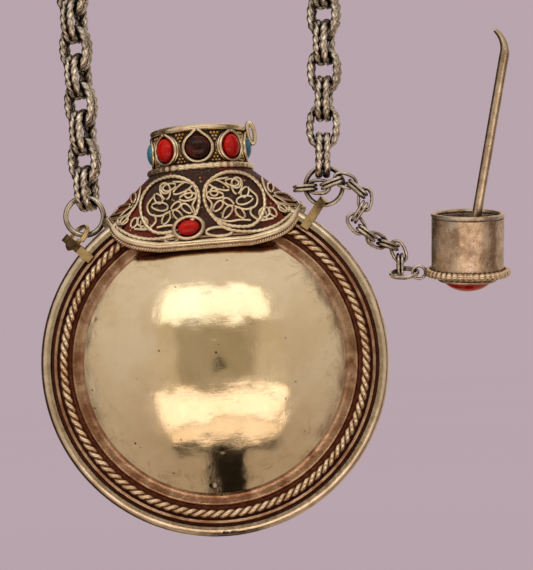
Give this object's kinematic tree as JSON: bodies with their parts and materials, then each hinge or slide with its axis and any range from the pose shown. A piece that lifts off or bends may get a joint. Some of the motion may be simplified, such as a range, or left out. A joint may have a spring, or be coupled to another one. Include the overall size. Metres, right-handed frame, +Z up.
{
  "type": "snuff bottle pendant",
  "caption": "Round moon-flask snuff bottle with domed faces, a filigree collar and stone-set neck, hung on a linked neck chain, with a tethered stopper that carries a spoon.",
  "frame": {"origin": "centre of the round flask, on its middle plane and on the neck axis", "axes": "+Z up along the neck axis, -Y out of the front face, +X to the right seen from the front"},
  "size_m": [0.0872, 0.0248, 0.1041],
  "materials": {
    "silver": "worn warm silver, softly polished",
    "antique_silver": "hammered silver with dark patina in the recesses",
    "pewter": "dull blotched grey metal",
    "brass": "worn brass",
    "collar_ground": "dark tarnish with a reddish cast",
    "coral": "polished",
    "garnet": "polished, dark",
    "turquoise": "polished"
  },
  "bodies": {
    "flask": {"front_shell": "silver", "back_shell": "silver", "edge_band": "silver", "front_rope_wire": "silver", "back_rope_wire": "silver", "front_rim_wire": "silver", "back_rim_wire": "silver", "collar": "collar_ground", "collar_border": "silver", "front_filigree": "silver", "back_filigree": "silver", "collar_bezels": "silver", "collar_corals": "coral", "neck_tube": "collar_ground", "neck_top_ring": "silver", "neck_base_ring": "silver", "neck_bezels": "silver", "neck_corals": "coral", "neck_garnets": "garnet", "neck_turquoises": "turquoise", "neck_granules": "brass", "lip_loop": "silver", "left_bail": "brass", "right_bail": "brass"},
    "stopper": {"stopper_cup": "pewter", "stopper_rim": "pewter", "stopper_plate": "pewter", "stopper_beaded_ring": "pewter", "stopper_bezel": "silver", "stopper_coral": "coral", "stopper_loop": "silver", "spoon_stem": "silver"},
    "small_ring": {"small_ring": "antique_silver"},
    "jump_ring": {"jump_ring": "antique_silver"},
    "left_chain_1": {"left_chain_1": "antique_silver"},
    "left_chain_2": {"left_chain_2": "antique_silver"},
    "left_chain_3": {"left_chain_3": "antique_silver"},
    "left_chain_4": {"left_chain_4": "antique_silver"},
    "left_chain_5": {"left_chain_5": "antique_silver"},
    "left_chain_6": {"left_chain_6": "antique_silver"},
    "left_chain_7": {"left_chain_7": "antique_silver"},
    "left_chain_8": {"left_chain_8": "antique_silver"},
    "split_ring": {"split_ring": "antique_silver"},
    "right_chain_1": {"right_chain_1": "antique_silver"},
    "right_chain_2": {"right_chain_2": "antique_silver"},
    "right_chain_3": {"right_chain_3": "antique_silver"},
    "right_chain_4": {"right_chain_4": "antique_silver"},
    "right_chain_5": {"right_chain_5": "antique_silver"},
    "right_chain_6": {"right_chain_6": "antique_silver"},
    "right_chain_7": {"right_chain_7": "antique_silver"},
    "tether_1": {"tether_1": "antique_silver"},
    "tether_2": {"tether_2": "antique_silver"},
    "tether_3": {"tether_3": "antique_silver"},
    "tether_4": {"tether_4": "antique_silver"},
    "tether_5": {"tether_5": "antique_silver"},
    "tether_6": {"tether_6": "antique_silver"},
    "tether_7": {"tether_7": "antique_silver"},
    "end_ring": {"end_ring": "antique_silver"}
  },
  "joints": [
    {"name": "small_ring_swing", "type": "hinge", "parent": "flask", "child": "small_ring", "pos_m": [-0.02455, 0.00186, 0.02371], "axis": [-0.4946, -0.7262, 0.4776], "range_deg": [0, 10]},
    {"name": "jump_ring_swing", "type": "hinge", "parent": "small_ring", "child": "jump_ring", "pos_m": [-0.023, 0.00146, 0.025], "axis": [0, 1, 0], "range_deg": [-10, 0]},
    {"name": "left_chain_1_swing", "type": "hinge", "parent": "jump_ring", "child": "left_chain_1", "pos_m": [-0.02089, 0.00146, 0.03143], "axis": [-0.9272, 0.3746, 0], "range_deg": [-20, 20]},
    {"name": "left_chain_2_swing", "type": "hinge", "parent": "left_chain_1", "child": "left_chain_2", "pos_m": [-0.02089, 0.00146, 0.03673], "axis": [-0.4538, -0.891, 0.0092], "range_deg": [-20, 20]},
    {"name": "left_chain_3_swing", "type": "hinge", "parent": "left_chain_2", "child": "left_chain_3", "pos_m": [-0.02079, 0.00146, 0.04182], "axis": [-0.8829, 0.4695, 0.0095], "range_deg": [-20, 20]},
    {"name": "left_chain_4_swing", "type": "hinge", "parent": "left_chain_3", "child": "left_chain_4", "pos_m": [-0.02074, 0.00146, 0.04692], "axis": [-0.4694, -0.883, -0.0068], "range_deg": [-20, 20]},
    {"name": "left_chain_5_swing", "type": "hinge", "parent": "left_chain_4", "child": "left_chain_5", "pos_m": [-0.02081, 0.00146, 0.05202], "axis": [-0.8828, 0.4695, -0.0163], "range_deg": [-20, 20]},
    {"name": "left_chain_6_swing", "type": "hinge", "parent": "left_chain_5", "child": "left_chain_6", "pos_m": [-0.0209, 0.00146, 0.05712], "axis": [-0.4695, -0.8829, 0.0021], "range_deg": [-20, 20]},
    {"name": "left_chain_7_swing", "type": "hinge", "parent": "left_chain_6", "child": "left_chain_7", "pos_m": [-0.02088, 0.00146, 0.06222], "axis": [-0.8827, 0.4696, 0.0185], "range_deg": [-20, 20]},
    {"name": "left_chain_8_swing", "type": "hinge", "parent": "left_chain_7", "child": "left_chain_8", "pos_m": [-0.02077, 0.00146, 0.06732], "axis": [-0.4695, -0.883, 0.0031], "range_deg": [-20, 20]},
    {"name": "split_ring_flip", "type": "hinge", "parent": "flask", "child": "split_ring", "pos_m": [0.01978, 0, 0.02698], "axis": [0.788, 0, -0.6157], "range_deg": [-40, 25]},
    {"name": "right_chain_1_swing", "type": "hinge", "parent": "split_ring", "child": "right_chain_1", "pos_m": [0.022, 0, 0.03375], "axis": [-0.9962, 0, 0.0872], "range_deg": [-20, 20]},
    {"name": "right_chain_2_swing", "type": "hinge", "parent": "right_chain_1", "child": "right_chain_2", "pos_m": [0.02248, 0, 0.03928], "axis": [-0.0862, -0.9962, 0.0093], "range_deg": [-20, 20]},
    {"name": "right_chain_3_swing", "type": "hinge", "parent": "right_chain_2", "child": "right_chain_3", "pos_m": [0.02303, 0, 0.04435], "axis": [-0.9799, 0.1745, 0.0964], "range_deg": [-20, 20]},
    {"name": "right_chain_4_swing", "type": "hinge", "parent": "right_chain_3", "child": "right_chain_4", "pos_m": [0.02353, 0, 0.04942], "axis": [-0.2575, -0.9661, 0.0188], "range_deg": [-20, 20]},
    {"name": "right_chain_5_swing", "type": "hinge", "parent": "right_chain_4", "child": "right_chain_5", "pos_m": [0.0239, 0, 0.05451], "axis": [-0.9372, 0.3427, 0.0645], "range_deg": [-20, 20]},
    {"name": "right_chain_6_swing", "type": "hinge", "parent": "right_chain_5", "child": "right_chain_6", "pos_m": [0.02425, 0, 0.0596], "axis": [-0.4194, -0.907, 0.0386], "range_deg": [-20, 20]},
    {"name": "right_chain_7_swing", "type": "hinge", "parent": "right_chain_6", "child": "right_chain_7", "pos_m": [0.02472, 0, 0.06468], "axis": [-0.8766, 0.4716, 0.0952], "range_deg": [-20, 20]},
    {"name": "tether_1_swing", "type": "hinge", "parent": "split_ring", "child": "tether_1", "pos_m": [0.01825, 0, 0.03], "axis": [0, 0, 1], "range_deg": [-8, 0]},
    {"name": "tether_2_swing", "type": "hinge", "parent": "tether_1", "child": "tether_2", "pos_m": [0.02054, 0, 0.03], "axis": [0.3888, 0.9201, -0.0463], "range_deg": [-5, 0]},
    {"name": "tether_3_swing", "type": "hinge", "parent": "tether_2", "child": "tether_3", "pos_m": [0.02396, -0.00194, 0.03146], "axis": [-0.2678, 0, 0.9635], "range_deg": [-24, 5]},
    {"name": "tether_4_swing", "type": "hinge", "parent": "tether_3", "child": "tether_4", "pos_m": [0.02908, -0.00239, 0.02752], "axis": [-0.0161, 0.9923, -0.1227], "range_deg": [-24, 5]},
    {"name": "tether_5_swing", "type": "hinge", "parent": "tether_4", "child": "tether_5", "pos_m": [0.02601, -0.0023, 0.02433], "axis": [0.8088, 0, -0.5881], "range_deg": [-12, 10]},
    {"name": "tether_6_swing", "type": "hinge", "parent": "tether_5", "child": "tether_6", "pos_m": [0.03017, -0.00081, 0.01981], "axis": [-0.4736, 0.8357, 0.2782], "range_deg": [-24, 20]},
    {"name": "tether_7_swing", "type": "hinge", "parent": "tether_6", "child": "tether_7", "pos_m": [0.03386, 0.00124, 0.01921], "axis": [0.3699, 0, 0.9291], "range_deg": [-16, 20]},
    {"name": "end_ring_swing", "type": "hinge", "parent": "tether_7", "child": "end_ring", "pos_m": [0.03502, 0.00204, 0.01413], "axis": [1, 0, 0], "range_deg": [-25, 25]},
    {"name": "stopper_swing", "type": "hinge", "parent": "end_ring", "child": "stopper", "pos_m": [0.03772, -0.0005, 0.01321], "axis": [0, 0.9397, 0.342], "range_deg": [-40, 40]}
  ]
}
